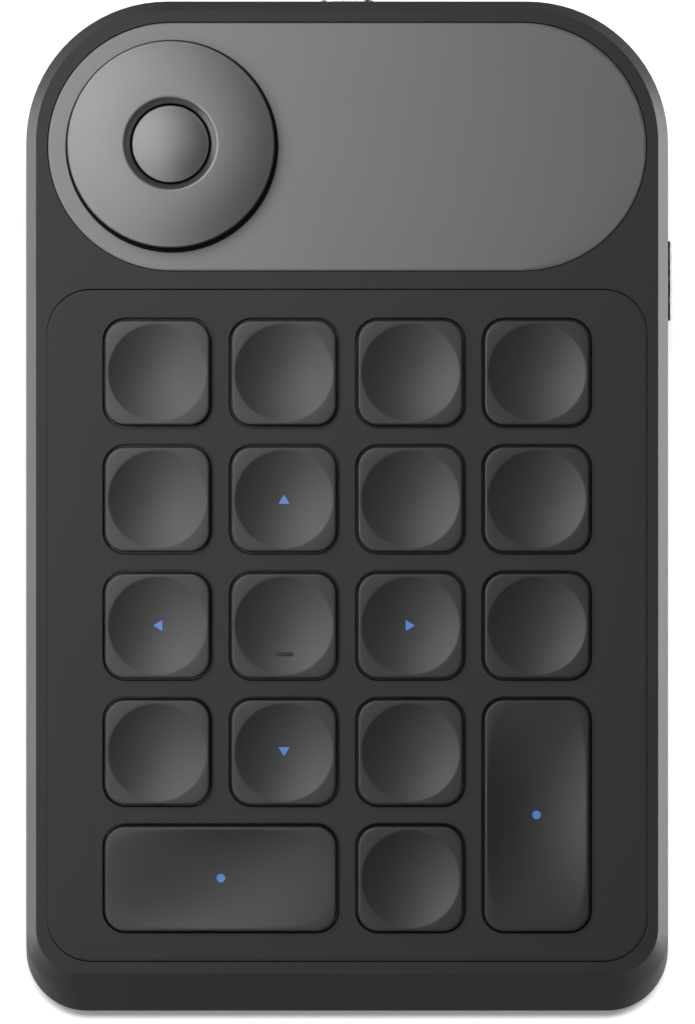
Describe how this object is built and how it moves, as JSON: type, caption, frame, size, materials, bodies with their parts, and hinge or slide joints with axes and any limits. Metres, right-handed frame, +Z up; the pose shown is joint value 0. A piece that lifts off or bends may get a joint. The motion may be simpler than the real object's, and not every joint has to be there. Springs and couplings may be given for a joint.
{
  "type": "macro keypad",
  "caption": "Wedge-shaped wireless macro keypad: dished keys in a grid with a wide and a tall key, and a dial with a centre button on a rounded panel.",
  "frame": {"origin": "on the desk, under the middle of the case's footprint", "axes": "+X right, +Y from the front edge towards the dial end, +Z up from the desk"},
  "size_m": [0.1094, 0.1715, 0.0181],
  "materials": {
    "case_plastic": "fine-textured dark grey moulding",
    "deck_plastic": "fine-textured dark grey moulding",
    "key_plastic": "satin dark grey, light texture",
    "panel_paint": "satin metallic grey",
    "dial_metal": "fine-blasted grey anodised",
    "dial_black": "black moulding",
    "button_black": "black moulding",
    "foot_rubber": "soft matt rubber",
    "dome_rubber": "milky silicone",
    "inner_plastic": "plain moulding",
    "white_plastic": "plain nylon",
    "board": "solder-masked laminate",
    "chip_black": "moulded package",
    "steel": "plated steel",
    "screw_steel": "black-zinc steel",
    "foil": "laminated pouch foil",
    "lead_red": "silicone insulation",
    "flex_amber": "polyimide film"
  },
  "bodies": {
    "case": {"top_shell": "case_plastic", "bottom_shell": "case_plastic", "key_deck": "deck_plastic", "dial_panel": "panel_paint", "key_frame": "inner_plastic", "dome_sheet": "dome_rubber", "main_board": "board", "board_chips": "chip_black", "frame_screws": "steel", "glide_washer": "white_plastic", "encoder_base": "inner_plastic", "dial_sensor": "chip_black", "centre_switch": "steel", "dial_board": "board", "board_screws": "steel", "ribbon_sockets": "white_plastic", "ribbon_cable": "flex_amber", "usb_c_shell": "steel", "usb_c_tongue": "chip_black", "power_switch": "steel", "battery_cell": "foil", "battery_leads": "lead_red", "battery_plug": "white_plastic", "battery_socket": "white_plastic", "rubber_feet": "foot_rubber", "case_screws": "screw_steel"},
    "dial": {"dial_ring": "dial_metal", "dial_skirt": "dial_black", "dial_hub": "inner_plastic", "code_wheel": "steel"},
    "centre_button": {"dial_button": "dial_metal", "centre_actuator": "chip_black"},
    "side_button": {"power_button": "button_black", "power_actuator": "white_plastic"},
    "stabiliser_wide": {"stabiliser_wide": "steel"},
    "stabiliser_tall": {"stabiliser_tall": "steel"},
    "key_r1c1": {"keycap_r1c1": "key_plastic"},
    "key_r1c2": {"keycap_r1c2": "key_plastic"},
    "key_r1c3": {"keycap_r1c3": "key_plastic"},
    "key_r1c4": {"keycap_r1c4": "key_plastic"},
    "key_r2c1": {"keycap_r2c1": "key_plastic"},
    "key_r2c2": {"keycap_r2c2": "key_plastic"},
    "key_r2c3": {"keycap_r2c3": "key_plastic"},
    "key_r2c4": {"keycap_r2c4": "key_plastic"},
    "key_r3c1": {"keycap_r3c1": "key_plastic"},
    "key_r3c2": {"keycap_r3c2": "key_plastic"},
    "key_r3c3": {"keycap_r3c3": "key_plastic"},
    "key_r3c4": {"keycap_r3c4": "key_plastic"},
    "key_r4c1": {"keycap_r4c1": "key_plastic"},
    "key_r4c2": {"keycap_r4c2": "key_plastic"},
    "key_r4c3": {"keycap_r4c3": "key_plastic"},
    "key_tall": {"keycap_tall": "key_plastic"},
    "key_wide": {"keycap_wide": "key_plastic"},
    "key_r5c3": {"keycap_r5c3": "key_plastic"}
  },
  "joints": [
    {"name": "dial_turn", "type": "hinge", "parent": "case", "child": "dial", "pos_m": [-0.02935, 0.06001, 0.01391], "axis": [0, -0.0349, 0.9994], "continuous": true},
    {"name": "centre_press", "type": "slide", "parent": "case", "child": "centre_button", "axis": [0, 0.0349, -0.9994], "range_m": [0, 0.0004], "stiffness_N_per_m": 900, "springref_m": -0.0003},
    {"name": "power_press", "type": "slide", "parent": "case", "child": "side_button", "axis": [-1, 0, 0], "range_m": [0, 0.0003], "stiffness_N_per_m": 1200, "springref_m": -0.0003},
    {"name": "press_r1c1", "type": "slide", "parent": "case", "child": "key_r1c1", "axis": [0, 0.0349, -0.9994], "range_m": [0, 0.0016], "stiffness_N_per_m": 300, "springref_m": -0.0006, "deforming": ["dome_sheet"]},
    {"name": "press_r1c2", "type": "slide", "parent": "case", "child": "key_r1c2", "axis": [0, 0.0349, -0.9994], "range_m": [0, 0.0016], "stiffness_N_per_m": 300, "springref_m": -0.0006},
    {"name": "press_r1c3", "type": "slide", "parent": "case", "child": "key_r1c3", "axis": [0, 0.0349, -0.9994], "range_m": [0, 0.0016], "stiffness_N_per_m": 300, "springref_m": -0.0006},
    {"name": "press_r1c4", "type": "slide", "parent": "case", "child": "key_r1c4", "axis": [0, 0.0349, -0.9994], "range_m": [0, 0.0016], "stiffness_N_per_m": 300, "springref_m": -0.0006},
    {"name": "press_r2c1", "type": "slide", "parent": "case", "child": "key_r2c1", "axis": [0, 0.0349, -0.9994], "range_m": [0, 0.0016], "stiffness_N_per_m": 300, "springref_m": -0.0006},
    {"name": "press_r2c2", "type": "slide", "parent": "case", "child": "key_r2c2", "axis": [0, 0.0349, -0.9994], "range_m": [0, 0.0016], "stiffness_N_per_m": 300, "springref_m": -0.0006},
    {"name": "press_r2c3", "type": "slide", "parent": "case", "child": "key_r2c3", "axis": [0, 0.0349, -0.9994], "range_m": [0, 0.0016], "stiffness_N_per_m": 300, "springref_m": -0.0006},
    {"name": "press_r2c4", "type": "slide", "parent": "case", "child": "key_r2c4", "axis": [0, 0.0349, -0.9994], "range_m": [0, 0.0016], "stiffness_N_per_m": 300, "springref_m": -0.0006},
    {"name": "press_r3c1", "type": "slide", "parent": "case", "child": "key_r3c1", "axis": [0, 0.0349, -0.9994], "range_m": [0, 0.0016], "stiffness_N_per_m": 300, "springref_m": -0.0006},
    {"name": "press_r3c2", "type": "slide", "parent": "case", "child": "key_r3c2", "axis": [0, 0.0349, -0.9994], "range_m": [0, 0.0016], "stiffness_N_per_m": 300, "springref_m": -0.0006},
    {"name": "press_r3c3", "type": "slide", "parent": "case", "child": "key_r3c3", "axis": [0, 0.0349, -0.9994], "range_m": [0, 0.0016], "stiffness_N_per_m": 300, "springref_m": -0.0006},
    {"name": "press_r3c4", "type": "slide", "parent": "case", "child": "key_r3c4", "axis": [0, 0.0349, -0.9994], "range_m": [0, 0.0016], "stiffness_N_per_m": 300, "springref_m": -0.0006},
    {"name": "press_r4c1", "type": "slide", "parent": "case", "child": "key_r4c1", "axis": [0, 0.0349, -0.9994], "range_m": [0, 0.0016], "stiffness_N_per_m": 300, "springref_m": -0.0006},
    {"name": "press_r4c2", "type": "slide", "parent": "case", "child": "key_r4c2", "axis": [0, 0.0349, -0.9994], "range_m": [0, 0.0016], "stiffness_N_per_m": 300, "springref_m": -0.0006},
    {"name": "press_r4c3", "type": "slide", "parent": "case", "child": "key_r4c3", "axis": [0, 0.0349, -0.9994], "range_m": [0, 0.0016], "stiffness_N_per_m": 300, "springref_m": -0.0006},
    {"name": "press_tall", "type": "slide", "parent": "case", "child": "key_tall", "axis": [0, 0.0349, -0.9994], "range_m": [0, 0.0016], "stiffness_N_per_m": 300, "springref_m": -0.0006},
    {"name": "press_wide", "type": "slide", "parent": "case", "child": "key_wide", "axis": [0, 0.0349, -0.9994], "range_m": [0, 0.0016], "stiffness_N_per_m": 300, "springref_m": -0.0006},
    {"name": "press_r5c3", "type": "slide", "parent": "case", "child": "key_r5c3", "axis": [0, 0.0349, -0.9994], "range_m": [0, 0.0016], "stiffness_N_per_m": 300, "springref_m": -0.0006},
    {"name": "stabiliser_tall_swing", "type": "hinge", "parent": "case", "child": "stabiliser_tall", "pos_m": [0.03789, -0.05169, 0.00641], "axis": [0, -0.9994, -0.0349], "range_deg": [0, 13]},
    {"name": "stabiliser_wide_swing", "type": "hinge", "parent": "case", "child": "stabiliser_wide", "pos_m": [-0.02113, -0.06845, 0.00582], "axis": [-1, 0, 0], "range_deg": [0, 13]}
  ],
  "couplings": [
    {"joint": "stabiliser_tall_swing", "follows": "press_tall", "rad_per_m": 140.44},
    {"joint": "stabiliser_wide_swing", "follows": "press_wide", "rad_per_m": 140.44}
  ]
}
